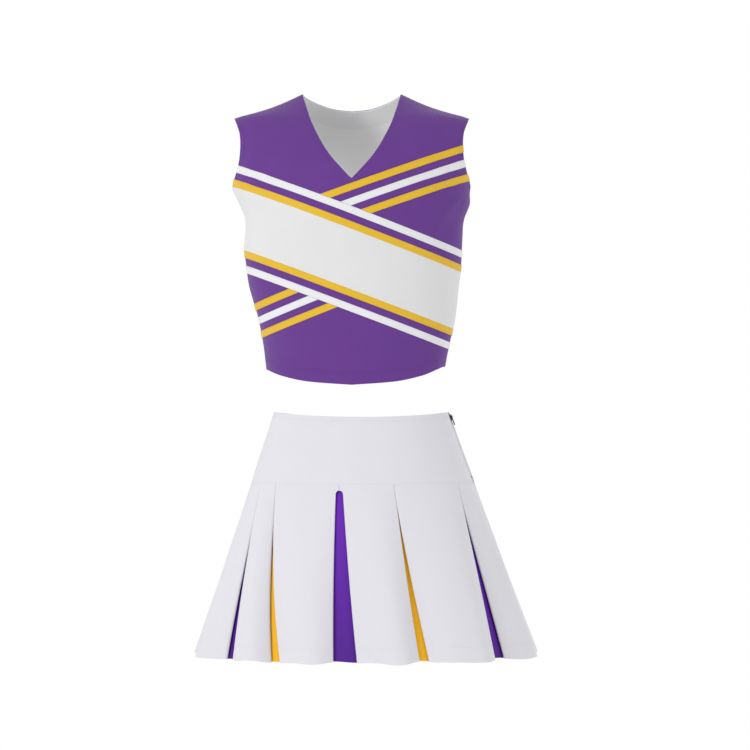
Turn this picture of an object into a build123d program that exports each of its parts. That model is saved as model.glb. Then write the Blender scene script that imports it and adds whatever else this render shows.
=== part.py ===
"""Two-piece cheer uniform: a sleeveless V-neck shell top over a box-pleated skirt with a side zip.

Millimetres. +X is the viewer's right, -Y the front, +Z up. The origin is the centre of the skirt's waist,
level with its side points. Every cloth layer is a thin closed solid of flat facets: a grid on a surface that
a formula gives, clipped to the garment's edges and grown along its normals. The top is a stack of half
ellipses, and the skirt an elliptical cone cut into pleats.
"""

import math
import os

import numpy as np
from build123d import *

# ---------------------------------------------------------------- driving dimensions
FABRIC = 1.0  # double-knit outer cloth
LINING = 0.6
TRIM = 0.7  # sewn-on braid and sash
FACING = 0.65
LAYER_GAP = 0.15  # between cloth layers that lie on each other

SHELL_X = -14.0  # the top hangs a little to the left of the skirt
BRAID_WIDTH = 10.0
BRAID_PITCH = 20.0  # centre to centre
SASH_HALF = 40.0
SASH_Z, SASH_ANGLE = 219.0, -20.8  # the sash's centre line at the top's middle
UPPER_CROSS_Z, UPPER_CROSS_ANGLE = 300.0, 19.8
LOWER_CROSS_Z, LOWER_CROSS_ANGLE = 186.0, 21.8
NECK_FACING, ARM_FACING, HEM_TAPE = 24.0, 13.0, 18.0  # how wide the strips inside the edges are

# The top's outline in the front view, as (place, value) points on smooth curves.
HALF_WIDTH = [
    (35, 128), (65, 129), (119, 139), (165, 147), (223, 156), (270, 156), (293, 161.5), (318, 170), (334, 173),
    (360, 184), (385, 189), (405, 186), (418, 178), (425, 169), (431, 147), (439, 120), (448, 97), (460, 71),
    (468, 50),
]  # fmt: skip
FRONT_DEPTH = [(35, 93), (120, 97), (220, 108), (290, 120), (340, 118), (380, 101), (410, 80), (440, 53), (468, 32)]
BACK_DEPTH = [(35, 90), (120, 90), (220, 97), (300, 104), (360, 104), (400, 94), (430, 75), (468, 42)]
V_NECK = [(0, 333), (11, 344.5), (32, 369), (53.6, 407.5), (65, 438), (71, 460), (120, 620)]
BACK_NECK = [(0, 440), (25, 442.5), (45, 448), (60, 454), (71, 460), (120, 520)]
ARMHOLE = [
    (309, 187), (324, 172), (335, 169), (350, 164), (364, 160.5), (385, 159.3), (400, 160.5), (414, 165), (427, 169.5),
    (470, 172),
]  # fmt: skip
FRONT_HEM = [(0, 40), (60, 44.5), (100, 53), (129, 65), (180, 85)]
BACK_HEM = [(0, 50), (60, 53), (100, 58), (129, 65), (180, 80)]
V_SLANT = 0.49  # how far across a V's edge one mm down is

WAIST_A, WAIST_B = 127.0, 95.0  # the skirt's half width and half depth at the waist
FLARE_A, FLARE_B = 0.343, 0.30  # what they gain per mm down
LEAN_X = 0.023  # the hem hangs a little to the right
WAIST_DIP_FRONT, WAIST_DIP_BACK = 5.5, 9.0
WAIST_FACING, WAIST_FACING_CLEAR = 32.0, 10.0  # its height, and how far it keeps from the zip
YOKE_Z = -101.5
HEM_Z = -350.0
INSERT_DEPTH = 4.0  # a pleat's underlay lies this far inside the pleat's face
PLEAT_BULGE = 3.0
SEAM_GAP = 0.6  # pleats hang this far below the yoke's edge
SHOWS_AT_YOKE = 0.6  # half the gap between pleats there
ZIP_T = 82.0  # the side zip, in degrees round from the front
ZIP_SLOT = 4.8  # half the opening that shows the chain

# Round from the front, each insert: (colour, degrees at the yoke, degrees at the hem, half of what shows there).
INSERTS = [
    ("purple", -12, -8, 17.5), ("gold", 15.8, 19.9, 7.7), ("purple", 57.3, 52.6, 10.5), ("gold", 86, 83.3, 9),
    ("purple", 115, 114.7, 10), ("gold", 145, 146, 9), ("purple", 176, 177.4, 12), ("gold", 207, 208.7, 9),
    ("purple", 237, 240, 10), ("gold", 267, 271.4, 9), ("purple", 294.5, 304.9, 8.5), ("gold", 309.5, 327.4, 7.5),
]  # fmt: skip

os.makedirs("parts", exist_ok=True)


# ---------------------------------------------------------------- helpers
def smooth(points, at):
    """The value at a place on a smooth curve through (place, value) points, with no overshoot between them."""
    x, y = np.array(points, float).T
    step, rise = np.diff(x), np.diff(y)
    slope = rise / step
    both = slope[:-1] + slope[1:]
    inner = np.where(slope[:-1] * slope[1:] > 0, 2 * slope[:-1] * slope[1:] / np.where(both == 0, 1, both), 0)
    tangent = np.concatenate([[slope[0]], inner, [slope[-1]]])
    i = int(np.clip(np.searchsorted(x, at) - 1, 0, len(step) - 1))
    s = (at - x[i]) / step[i]
    start = (1 + 2 * s) * (1 - s) ** 2 * y[i] + s * (1 - s) ** 2 * step[i] * tangent[i]
    return float(start + s * s * (3 - 2 * s) * y[i + 1] + s * s * (s - 1) * step[i] * tangent[i + 1])


def clip(corners, fields):
    """What is left of a triangle where every field is positive, as weights of its corners."""
    kept = list(np.eye(3))
    for field in fields:
        at = field[list(corners)]
        left = []
        for one, two in zip(kept, kept[1:] + kept[:1]):
            here, there = round(one @ at, 9), round(two @ at, 9)
            if here >= 0:
                left.append(one)
            if here * there < 0:
                left.append(one + (two - one) * here / (here - there))
        kept = left
    return kept


def connected(polygons):
    """Polygons, as lists of corner keys, in groups that share corners."""
    groups = []
    for polygon in polygons:
        touching = [g for g in groups if not g[0].isdisjoint(polygon)]
        corners, members = set(polygon), [polygon]
        for group in touching:
            corners |= group[0]
            members += group[1]
        groups = [g for g in groups if g not in touching] + [(corners, members)]
    return [members for _, members in groups]


def sheet(point, us, vs, low, high, keep=()):
    """Closed faceted solids: the surface point(u, v) where every keep(x, z) is positive, from offset low to high.

    Offsets run along the outward normal. A keep value within SNAP of zero counts as on the edge.
    """
    h, count = 1e-3, len(us)
    at = np.array([point(u, v) for v in vs for u in us], float)
    along_u = np.array([point(u + h, v) for v in vs for u in us]) - at
    along_v = np.array([point(u, v + h) for v in vs for u in us]) - at
    normals = np.cross(along_u, along_v)
    normals /= np.linalg.norm(normals, axis=1)[:, None]
    fields = [np.array([value if abs(value) > SNAP else 0 for value in (f(x, z) for x, _, z in at)]) for f in keep]
    spots, polygons = {}, []
    for row in range(len(vs) - 1):
        for column in range(count - 1):
            a = row * count + column
            b, c, d = a + 1, a + count + 1, a + count
            for corners in ((a, b, c), (a, c, d)):
                polygon = []
                for weights in clip(corners, fields):
                    base, normal = weights @ at[list(corners)], weights @ normals[list(corners)]
                    key = tuple(np.round(base, 4))
                    spots.setdefault(key, (base + low * normal, base + high * normal))
                    if key not in polygon:
                        polygon.append(key)
                if len(polygon) > 2:
                    polygons.append(polygon)
    return [closed(group, spots) for group in connected(polygons)]


def closed(polygons, spots):
    """One solid from polygons of corner keys: the outer faces, the inner faces and the walls round the rim."""
    faces = []
    edges = {(a, b) for p in polygons for a, b in zip(p, p[1:] + p[:1])}
    for polygon in polygons:
        faces.append([spots[key][1] for key in polygon])
        faces.append([spots[key][0] for key in reversed(polygon)])
    for a, b in sorted(edges):
        if (b, a) not in edges:
            faces.append([spots[b][1], spots[a][1], spots[a][0]])
            faces.append([spots[b][1], spots[a][0], spots[b][0]])
    return Solid(Shell([Face(Wire.make_polygon([Vector(*p) for p in face])) for face in faces]))


def save(name, solids):
    export_step(solids[0] if len(solids) == 1 else Compound(solids), f"parts/{name}.step")


SNAP = 0.35

# ---------------------------------------------------------------- shell top
FRONT, BACK = -1, 1
ANGLES = np.radians(np.linspace(-89.93, 89.93, 13))  # the side seams stay just open
HEIGHTS = [36, 65, 95, 130, 165, 200, 235, 270, 300, 324, 342, 362, 385, 405, 418, 431, 445, 456, 466]


def torso(side):
    """The front or back of the top as a function of the angle round the body and the height."""
    depths = FRONT_DEPTH if side == FRONT else BACK_DEPTH

    def point(t, z):
        turn = t if side == FRONT else -t
        return SHELL_X + smooth(HALF_WIDTH, z) * math.sin(turn), side * smooth(depths, z) * math.cos(turn), z

    return point


def below_neck(side):
    line = V_NECK if side == FRONT else BACK_NECK
    return lambda x, z: smooth(line, abs(x - SHELL_X)) - z


def inside_armholes(x, z):
    return smooth(ARMHOLE, max(z, ARMHOLE[0][0])) - abs(x - SHELL_X)


def above_hem(side):
    line = FRONT_HEM if side == FRONT else BACK_HEM
    return lambda x, z: z - smooth(line, abs(x - SHELL_X))


def outline(side):
    return [below_neck(side), inside_armholes, above_hem(side)]


def strip(width, from_edge, share=1.0):
    """Where a point is less than a width from an edge, with share the slant of that edge's measure."""
    return lambda x, z: width - share * from_edge(x, z)


def across(z0, angle):
    """How far a point is above a slanted line in the front view, at right angles to it."""
    lean = math.radians(angle)
    return lambda x, z: (z - z0) * math.cos(lean) - (x - SHELL_X) * math.sin(lean)


def band(line, offset, width):
    """The two edges of a band beside a slanted line."""
    return [lambda x, z: width / 2 - line(x, z) + offset, lambda x, z: width / 2 + line(x, z) - offset]


def stripes():
    """Each sash or braid piece of the top, as what bounds it in the front view, by name."""
    sash, first = across(SASH_Z, SASH_ANGLE), SASH_HALF + BRAID_WIDTH / 2
    found = {"sash_panel": band(sash, 0, 2 * SASH_HALF - 0.8)}
    for word, up in [("upper", 1), ("lower", -1)]:
        found[f"sash_braid_gold_{word}"] = band(sash, up * first, BRAID_WIDTH)
        found[f"sash_braid_white_{word}"] = band(sash, up * (first + BRAID_PITCH), BRAID_WIDTH)
    clear = first + BRAID_PITCH + BRAID_WIDTH / 2 + 0.8
    for word, z, angle, up in [
        ("upper", UPPER_CROSS_Z, UPPER_CROSS_ANGLE, 1),
        ("lower", LOWER_CROSS_Z, LOWER_CROSS_ANGLE, -1),
    ]:
        beyond = (lambda sign: lambda x, z: sign * sash(x, z) - clear)(up)
        for colour, offset in [("gold_top", BRAID_PITCH), ("white", 0), ("gold_low", -BRAID_PITCH)]:
            found[f"cross_{word}_{colour}"] = [*band(across(z, angle), offset, BRAID_WIDTH), beyond]
    return found


def layer(side, low, high, *more):
    return sheet(torso(side), ANGLES, HEIGHTS, low, high, [*outline(side), *more])


def build_shell_top():
    lined, faced = -LAYER_GAP - LINING, -2 * LAYER_GAP - LINING
    inner = {side: (side, faced - FACING, faced) for side in (FRONT, BACK)}
    for side, word in [(FRONT, "front"), (BACK, "back")]:
        for half, sign in [("right", 1), ("left", -1)]:
            save(f"shell_{word}_{half}", layer(side, 0, FABRIC, lambda x, z: sign * (x - SHELL_X)))
        save(f"lining_{word}", layer(side, lined, -LAYER_GAP))
        slant = V_SLANT if side == FRONT else 1.0
        save(f"neck_facing_{word}", layer(*inner[side], strip(NECK_FACING, below_neck(side), slant)))
    for word, sign in [("right", 1), ("left", -1)]:
        rules = [strip(ARM_FACING, inside_armholes), lambda x, z: sign * (x - SHELL_X)]
        save(f"armhole_facing_{word}", [s for side in inner for s in layer(*inner[side], *rules)])
    save("hem_tape", [s for side in inner for s in layer(*inner[side], strip(HEM_TAPE, above_hem(side)))])
    start = FABRIC + LAYER_GAP
    for name, rules in stripes().items():
        save(name, [s for side in (FRONT, BACK) for s in layer(side, start, start + TRIM, *rules)])


# ---------------------------------------------------------------- skirt
def skirt_point(t, z):
    """The skirt's outer surface, at an angle round from the front, in degrees."""
    a, b = WAIST_A - FLARE_A * z, WAIST_B - FLARE_B * z
    return -LEAN_X * z + a * math.sin(math.radians(t)), -b * math.cos(math.radians(t)), z


def degrees_for(t, z, length):
    """The angle that a length round the skirt takes up there."""
    a, b = WAIST_A - FLARE_A * z, WAIST_B - FLARE_B * z
    radius = math.hypot(a * math.cos(math.radians(t)), b * math.sin(math.radians(t)))
    return math.degrees(length / radius)


def below_yoke(z):
    """How far down the pleats a height is, from 0 at the yoke to 1 at the hem."""
    return (z - YOKE_Z) / (HEM_Z - YOKE_Z)


def insert_angle(k, z):
    """The middle of insert k at a height. Numbers past the last go round again."""
    _, top, low, _ = INSERTS[k % len(INSERTS)]
    return top + (low - top) * below_yoke(z) + 360 * (k // len(INSERTS))


def shows(k, z):
    """Half of what shows of insert k between its two pleats at a height."""
    return SHOWS_AT_YOKE + (INSERTS[k % len(INSERTS)][3] - SHOWS_AT_YOKE) * below_yoke(z)


def between(left, right, bulge=0.0):
    """A surface between two edges that are angles at each height; u runs 0 to 1 across it."""

    def point(u, z):
        a, b = left(z), right(z)
        x, y, _ = skirt_point(a + (b - a) * u, z)
        out = 1 + bulge * below_yoke(z) * 4 * u * (1 - u) / math.hypot(x, y)
        return x * out, y * out, z

    return point


ACROSS = np.linspace(0, 1, 5)
DOWN = np.linspace(HEM_Z, YOKE_Z - SEAM_GAP, 4)


def pleat(k):
    """The white pleat between inserts k and k + 1."""

    def left(z):
        return insert_angle(k, z) + degrees_for(insert_angle(k, z), z, shows(k, z))

    def right(z):
        return insert_angle(k + 1, z) - degrees_for(insert_angle(k + 1, z), z, shows(k + 1, z))

    return sheet(between(left, right, PLEAT_BULGE), ACROSS, DOWN, -FABRIC, 0)


def insert(k):
    """Insert k: the underlay that reaches behind half of each pleat beside it."""

    def left(z):
        return (insert_angle(k - 1, z) + insert_angle(k, z)) / 2 + degrees_for(insert_angle(k, z), z, 1.0)

    def right(z):
        return (insert_angle(k, z) + insert_angle(k + 1, z)) / 2 - degrees_for(insert_angle(k, z), z, 1.0)

    return sheet(between(left, right), ACROSS, DOWN, -INSERT_DEPTH - 0.8, -INSERT_DEPTH)


def waist_z(t):
    """The height of the waistline, which dips at the front and the back."""
    cosine = math.cos(math.radians(t))
    return -(WAIST_DIP_FRONT if cosine > 0 else WAIST_DIP_BACK) * cosine**2


def skirt_ring(angles, bottom, low, high):
    """A piece of the yoke's cone, from a bottom height that depends on the angle up to the waistline."""

    def point(t, v):
        return skirt_point(t, bottom(t) + (waist_z(t) - bottom(t)) * v)

    return sheet(point, angles, [0, 0.5, 1], low, high)


def build_skirt():
    seam = ZIP_T - 180
    slot, clear = degrees_for(ZIP_T, YOKE_Z / 2, ZIP_SLOT), degrees_for(ZIP_T, 0, WAIST_FACING_CLEAR)
    front = [*np.linspace(seam + 0.1, ZIP_T - clear, 14), ZIP_T - slot]
    back = [ZIP_T + slot, *np.linspace(ZIP_T + clear, seam + 359.9, 14)]
    inside = -FABRIC - LAYER_GAP
    for word, angles, short in [("front", front, front[:-1]), ("back", back, back[1:])]:
        save(f"yoke_{word}", skirt_ring(angles, lambda t: YOKE_Z, -FABRIC, 0))
        save(f"waist_facing_{word}", skirt_ring(short, lambda t: waist_z(t) - WAIST_FACING, inside - FACING, inside))
    for k, (colour, _, _, _) in enumerate(INSERTS):
        save(f"pleat_{k + 1:02d}", pleat(k))
        save(f"insert_{k + 1:02d}_{colour}", insert(k))


# ---------------------------------------------------------------- side zip
ZIP_LENGTH = 103.0
COIL_NEAR, COIL_FAR = 0.4, 2.3  # from the zip's middle
SLIDER_LENGTH, SLIDER_HALF = 9.0, 3.5
SLIDER_Y = -8.0  # the slider's middle at rest
TAB_PIVOT_Y, TAB_PIVOT_Z = -6.6, 2.4
TAB_LENGTH, TAB_WIDTH, TAB_THICK = 14.0, 5.0, 1.0
STOP_Y = -99.0


def zip_plane():
    """The zip's own frame: x across it towards the back, y up the cloth, z outwards; its origin is at the waist."""
    top, low = Vector(*skirt_point(ZIP_T, 0)), Vector(*skirt_point(ZIP_T, YOKE_Z))
    up = (top - low).normalized()
    across_zip = (Vector(*skirt_point(ZIP_T + 0.01, 0)) - Vector(*skirt_point(ZIP_T - 0.01, 0))).normalized()
    return Plane(origin=top, x_dir=across_zip - up * across_zip.dot(up), z_dir=across_zip.cross(up))


def block(x0, x1, y0, y1, z0, z1):
    return Pos((x0 + x1) / 2, (y0 + y1) / 2, (z0 + z1) / 2) * Box(x1 - x0, y1 - y0, z1 - z0)


def both_sides(x0, x1, *rest):
    return [block(x0, x1, *rest), block(-x1, -x0, *rest)]


def slider():
    """Top plate, bottom plate, the post between the two coils, side flanges and the arch that holds the tab."""
    y0, y1 = SLIDER_Y - SLIDER_LENGTH / 2, SLIDER_Y + SLIDER_LENGTH / 2
    body = block(-SLIDER_HALF, SLIDER_HALF, y0, y1, 0.3, 1.3)
    body = fillet(body.edges().filter_by(Axis.Z), 1.2)
    for flange in both_sides(COIL_FAR + 0.3, SLIDER_HALF, y0 + 1.2, y1 - 1.2, -1.2, 0.3):
        body += flange
    body += block(-0.2, 0.2, y1 - 4, y1 - 1, -2.7, 0.3)
    body += block(-3, 3, y0 + 0.5, y1 - 0.5, -3.4, -2.7)
    arch = block(-1.0, 1.0, TAB_PIVOT_Y - 2.4, TAB_PIVOT_Y + 2.4, 1.3, 3.6)
    arch = fillet(arch.edges().filter_by(Axis.X).group_by(Axis.Z)[-1], 1.1)
    arch -= block(-2, 2, TAB_PIVOT_Y - 1.3, TAB_PIVOT_Y + 1.3, 1.35, TAB_PIVOT_Z + 0.65)
    return body + arch


def pull_tab():
    """A flat tab with a slot at its head, whose round cross bar hangs in the slider's arch."""
    head, foot = TAB_PIVOT_Y + 0.6, TAB_PIVOT_Y - TAB_LENGTH
    z0, z1 = TAB_PIVOT_Z - TAB_THICK / 2, TAB_PIVOT_Z + TAB_THICK / 2
    tab = block(-TAB_WIDTH / 2, TAB_WIDTH / 2, foot, head, z0, z1)
    tab = fillet(tab.edges().filter_by(Axis.Z).group_by(Axis.Y)[0], 2.2)
    tab -= block(-1.4, 1.4, TAB_PIVOT_Y - 4.5, TAB_PIVOT_Y + 2, z0 - 1, z1 + 1)
    tab -= Pos(0, foot + 2.6, TAB_PIVOT_Z) * Cylinder(0.9, 4)
    return tab + Pos(0, TAB_PIVOT_Y, TAB_PIVOT_Z) * Rot(0, 90, 0) * Cylinder(0.5, 4)


def hook():
    """A flat hook sewn to the front edge's facing, whose tongue reaches across behind the slider."""
    return block(-15, -10.5, -6.5, -1.2, -4.9, -4.1) + block(-10.5, 12.8, -4.6, -2.9, -4.9, -4.1)


def eye():
    """The back edge's staple, which the hook's tongue goes through."""
    frame = block(10.5, 12.1, -6.4, -1.1, -5.8, -3.5) - block(10, 13, -5.0, -2.5, -5.2, -3.9)
    return frame + block(12.1, 14.4, -6.4, -5.0, -5.0, -4.3) + block(12.1, 14.4, -2.5, -1.1, -5.0, -4.3)


def build_zip():
    place = zip_plane()
    parts = {
        "zip_tape": both_sides(0.7, 8.5, -ZIP_LENGTH, -1.5, -2.5, -2.0),
        "zip_coil_front": [block(-COIL_FAR, -COIL_NEAR, STOP_Y + 1.5, -2.5, -1.9, -0.3)],
        "zip_coil_back": [block(COIL_NEAR, COIL_FAR, STOP_Y + 1.5, -2.5, -1.9, -0.3)],
        "zip_top_stops": both_sides(COIL_NEAR, COIL_FAR + 0.2, -2.4, -1.0, -1.9, 0.2),
        "zip_bottom_stop": [block(-2.6, 2.6, STOP_Y - 1.5, STOP_Y + 1.4, -1.9, 0.1)],
        "zip_slider": [slider()],
        "zip_pull_tab": [pull_tab()],
        "waist_hook": [hook()],
        "waist_eye": [eye()],
    }
    for name, shapes in parts.items():
        save(name, [solid for shape in shapes for solid in (place * shape).solids()])


build_shell_top()
build_skirt()
build_zip()
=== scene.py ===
import math

import bpy
import numpy as np
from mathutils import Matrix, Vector


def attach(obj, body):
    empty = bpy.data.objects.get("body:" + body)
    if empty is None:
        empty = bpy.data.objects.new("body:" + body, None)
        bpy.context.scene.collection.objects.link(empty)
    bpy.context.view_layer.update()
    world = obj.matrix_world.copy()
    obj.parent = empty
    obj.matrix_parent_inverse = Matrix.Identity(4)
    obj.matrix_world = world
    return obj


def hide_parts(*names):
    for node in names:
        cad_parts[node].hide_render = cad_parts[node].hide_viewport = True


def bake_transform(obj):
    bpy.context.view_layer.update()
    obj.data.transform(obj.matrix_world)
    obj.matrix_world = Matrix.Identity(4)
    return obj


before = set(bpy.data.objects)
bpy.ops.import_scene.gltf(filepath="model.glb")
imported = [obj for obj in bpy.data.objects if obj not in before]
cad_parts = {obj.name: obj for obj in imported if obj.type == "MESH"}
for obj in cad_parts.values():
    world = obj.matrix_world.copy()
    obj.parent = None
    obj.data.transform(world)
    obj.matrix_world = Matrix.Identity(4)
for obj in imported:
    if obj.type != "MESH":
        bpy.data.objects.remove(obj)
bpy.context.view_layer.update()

# ---------------------------------------------------------------- sizes, in millimetres as in the CAD
FABRIC, LINING, TRIM, FACING, LAYER_GAP = 1.0, 0.6, 0.7, 0.65, 0.15
SHELL_X = -14.0
BRAID_WIDTH, BRAID_PITCH, SASH_HALF = 10.0, 20.0, 40.0
SASH_Z, SASH_ANGLE = 219.0, -20.8
UPPER_CROSS_Z, UPPER_CROSS_ANGLE = 300.0, 19.8
LOWER_CROSS_Z, LOWER_CROSS_ANGLE = 186.0, 21.8
NECK_FACING, ARM_FACING, HEM_TAPE = 24.0, 13.0, 18.0
V_SLANT = 0.49
# The top's half width at each height, on the viewer's left and right, and its half depths.
HALF_LEFT = [
    (35, 120), (72, 124), (96, 127), (119, 131), (142, 136), (165, 143), (188, 149), (212, 152),
    (235, 154.5), (270, 152), (281, 153), (293, 157), (304, 162), (316, 168), (328, 172.5), (340, 174),
    (360, 184), (385, 189), (405, 186), (418, 178), (425, 169), (431, 147), (439, 120), (448, 97),
    (460, 71), (468, 50),
]  # fmt: skip
HALF_RIGHT = [
    (35, 130), (72, 135.5), (96, 140), (119, 145), (142, 149), (165, 151.5), (188, 154), (212, 157.5),
    (246, 159), (270, 160), (281, 162), (293, 167), (304, 170.5), (316, 170), (328, 171.5),
    (340, 173.5), (360, 184), (385, 189), (405, 186), (418, 178), (425, 169), (431, 147), (439, 120),
    (448, 97), (460, 71), (468, 50),
]  # fmt: skip
FRONT_DEPTH = [
    (35, 93), (120, 97), (220, 108), (290, 120), (340, 118), (380, 101), (410, 80), (440, 53),
    (468, 32),
]  # fmt: skip
BACK_DEPTH = [(35, 90), (120, 90), (220, 97), (300, 104), (360, 104), (400, 94), (430, 75), (468, 42)]
V_NECK = [(0, 333), (11, 344.5), (32, 369), (53.6, 407.5), (65, 438), (71, 460), (120, 620)]
BACK_NECK = [(0, 440), (25, 442.5), (45, 448), (60, 454), (71, 460), (120, 520)]
ARMHOLE = [
    (309, 187), (324, 172), (335, 169), (350, 164), (364, 160.5), (385, 159.3), (400, 160.5),
    (414, 165), (427, 169.5), (470, 172),
]  # fmt: skip
FRONT_HEM = [(0, 40), (60, 44.5), (100, 53), (129, 65), (180, 85)]
BACK_HEM = [(0, 50), (60, 53), (100, 58), (129, 65), (180, 80)]

WAIST_A, WAIST_B, FLARE_A, FLARE_B, LEAN_X = 127.0, 95.0, 0.343, 0.30, 0.023
WAIST_DIP_FRONT, WAIST_DIP_BACK, WAIST_FACING = 5.5, 9.0, 32.0
YOKE_Z, HEM_Z = -101.5, -350.0
RETURN = 11.0  # how far a pleat's cloth turns back behind its folded edge
EDGE_DIP = 9.5  # how far the folded edges fall in at the hem
ZIP_T, ZIP_SLOT, ZIP_CLEAR = 82.0, 4.8, 10.0
# Round from the front: (colour, degrees round at the yoke, degrees round at the hem, height where it starts
# to show, half of what shows at the hem).
INSERTS = [
    ("purple", -12, -7.3, -110, 17.4), ("gold", 15.8, 19.9, -130, 7.3),
    ("purple", 57.3, 52.6, -124, 10.8), ("gold", 86, 83.3, -135, 9), ("purple", 115, 114.7, -130, 10),
    ("gold", 145, 146, -135, 9), ("purple", 176, 177.4, -125, 12), ("gold", 207, 208.7, -135, 9),
    ("purple", 237, 240, -130, 10), ("gold", 267, 271.4, -140, 9), ("purple", 294.5, 304.9, -152, 7.4),
    ("gold", 309.5, 327.4, -150, 7.2),
]  # fmt: skip
SLOT_TOP = 5.3  # half the width of the front insert's round top
PLEAT_CLOTH, INSERT_CLOTH = 0.9, 0.8
# How far in from each edge the stitching runs.
BRAID_THREAD, EDGE_THREAD, HEM_THREADS, PLEAT_THREAD = 1.2, 5.0, (14.0, 17.5), 19.0
TAPE_TOP, TAPE_LOW, COIL_TOP, COIL_LOW, COIL_PITCH = -1.5, -106.8, -2.9, -97.1, 1.35

# The rectangle that each piece of cloth is cut from, in metres.
TOP_FLAT, SASH_FLAT, YOKE_FLAT, TAPE_FLAT = (0.48, 0.44), (0.98, 0.085), (0.46, 0.11), (0.024, 0.108)
PLEAT_FLAT, INSERT_FLAT = (0.2, 0.27), (0.16, 0.27)

MM = 0.001
FRONT, BACK = -1, 1
RNG = np.random.default_rng(7)


# ---------------------------------------------------------------- curves and surfaces
def curve(points):
    """A smooth curve through (place, value) points, with no overshoot, as a function of places."""
    x, y = np.array(points, float).T
    step, rise = np.diff(x), np.diff(y)
    slope = rise / step
    both = slope[:-1] + slope[1:]
    inner = np.where(slope[:-1] * slope[1:] > 0, 2 * slope[:-1] * slope[1:] / np.where(both == 0, 1, both), 0)
    tangent = np.concatenate([[slope[0]], inner, [slope[-1]]])

    def value(at):
        at = np.asarray(at, float)
        i = np.clip(np.searchsorted(x, at) - 1, 0, len(step) - 1)
        s = (at - x[i]) / step[i]
        start = (1 + 2 * s) * (1 - s) ** 2 * y[i] + s * (1 - s) ** 2 * step[i] * tangent[i]
        return start + s * s * (3 - 2 * s) * y[i + 1] + s * s * (s - 1) * step[i] * tangent[i + 1]

    return value


def ripples(count, shortest, longest, height):
    """A sum of random waves over a plane, in millimetres."""
    turn, phase = RNG.uniform(0, math.tau, count), RNG.uniform(0, math.tau, count)
    length = RNG.uniform(shortest, longest, count)
    kx, kz = math.tau / length * np.cos(turn), math.tau / length * np.sin(turn)

    def value(x, z):
        waves = np.sin(np.multiply.outer(x, kx) + np.multiply.outer(z, kz) + phase)
        return height * waves.sum(-1) / math.sqrt(count)

    return value


half_left, half_right = curve(HALF_LEFT), curve(HALF_RIGHT)
depth = {FRONT: curve(FRONT_DEPTH), BACK: curve(BACK_DEPTH)}
neck = {FRONT: curve(V_NECK), BACK: curve(BACK_NECK)}
hem = {FRONT: curve(FRONT_HEM), BACK: curve(BACK_HEM)}
armhole = curve(ARMHOLE)
creases = {side: ripples(7, 45, 120, 0.55) for side in (FRONT, BACK)}


def drag(side, x, z):
    """Soft folds of the top: pulls that run from each underarm, and slack above the hem."""
    out = creases[side](x, z)
    for sign in (-1, 1):
        dx, dz = (sign * 165 - x) * sign, 318 - z
        far = np.hypot(dx, dz)
        wave = np.sin(9 * np.arctan2(dz, dx + 1e-6) + sign)
        out = out + 1.3 * wave * np.exp(-((far - 55) / 38) ** 2)
    low = np.exp(-(((z - 95) / 45) ** 2))
    return out + 1.0 * low * np.sin(x / 17 + 0.9 * np.sin(z / 21))


def torso(side):
    """The front or back of the top as a function of the angle round the body and the height."""

    def point(t, z):
        s, c = np.sin(t if side == FRONT else -t), np.cos(t)
        left, right = half_left(z), half_right(z)
        half = (left + right) / 2 + (right - left) / 2 * s
        x, y = half * s, side * depth[side](z) * c
        out = drag(side, x, z) * c**0.5
        return np.stack([SHELL_X + x + out * s, y + side * out * c, z + 0 * x], -1)

    return point


def skirt(t, z):
    """The skirt's outer surface, at an angle round from the front, in degrees."""
    a, b = WAIST_A - FLARE_A * z, WAIST_B - FLARE_B * z
    turn = np.radians(t)
    return np.stack([-LEAN_X * z + a * np.sin(turn), -b * np.cos(turn), z + 0 * turn], -1)


def degrees_for(t, z, length):
    """How many degrees round the skirt a length in millimetres takes, at an angle and a height."""
    a, b = WAIST_A - FLARE_A * z, WAIST_B - FLARE_B * z
    return np.degrees(length / np.hypot(a * np.cos(np.radians(t)), b * np.sin(np.radians(t))))


def normals(point, u, v, h=1e-3):
    """Unit normals of a surface point(u, v), facing outwards."""
    here = point(u, v)
    found = np.cross(point(u + h, v) - here, point(u, v + h) - here)
    return found / np.linalg.norm(found, axis=-1, keepdims=True)


def on_shell(side, x, z, out=0.0):
    """The point of the top that the front view shows at x, z, and its normal."""
    t = np.zeros_like(x)
    for _ in range(4):
        s = np.sin(t)
        half = (half_left(z) + half_right(z)) / 2 + (half_right(z) - half_left(z)) / 2 * s
        t = np.arcsin(np.clip(x / half, -0.9999, 0.9999))
    t = t if side == FRONT else -t
    point = torso(side)
    n = normals(point, t, z)
    return point(t, z) + n * out, n


# ---------------------------------------------------------------- meshes
def build(name, points, faces, material, body, slot, uv=None, replaces=()):
    """A mesh piece from points in millimetres, shaded smooth except over sharp edges, riding on a body."""
    mesh = bpy.data.meshes.new(name)
    mesh.from_pydata((np.asarray(points) * MM).tolist(), [], [list(map(int, f)) for f in faces])
    mesh.polygons.foreach_set("use_smooth", [True] * len(mesh.polygons))
    if uv is not None:
        layer = mesh.uv_layers.new(name="UVMap")
        corner = np.zeros(len(mesh.loops), np.int32)
        mesh.loops.foreach_get("vertex_index", corner)
        layer.data.foreach_set("uv", (np.asarray(uv)[corner] * MM).astype(np.float32).ravel())
    mesh.set_sharp_from_angle(angle=math.radians(48))
    mesh.materials.append(material)
    mesh.update()
    piece = bpy.data.objects.new(name, mesh)
    bpy.context.scene.collection.objects.link(piece)
    if body:
        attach(piece, body)
    if replaces:
        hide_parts(*replaces)
    return piece


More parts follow.
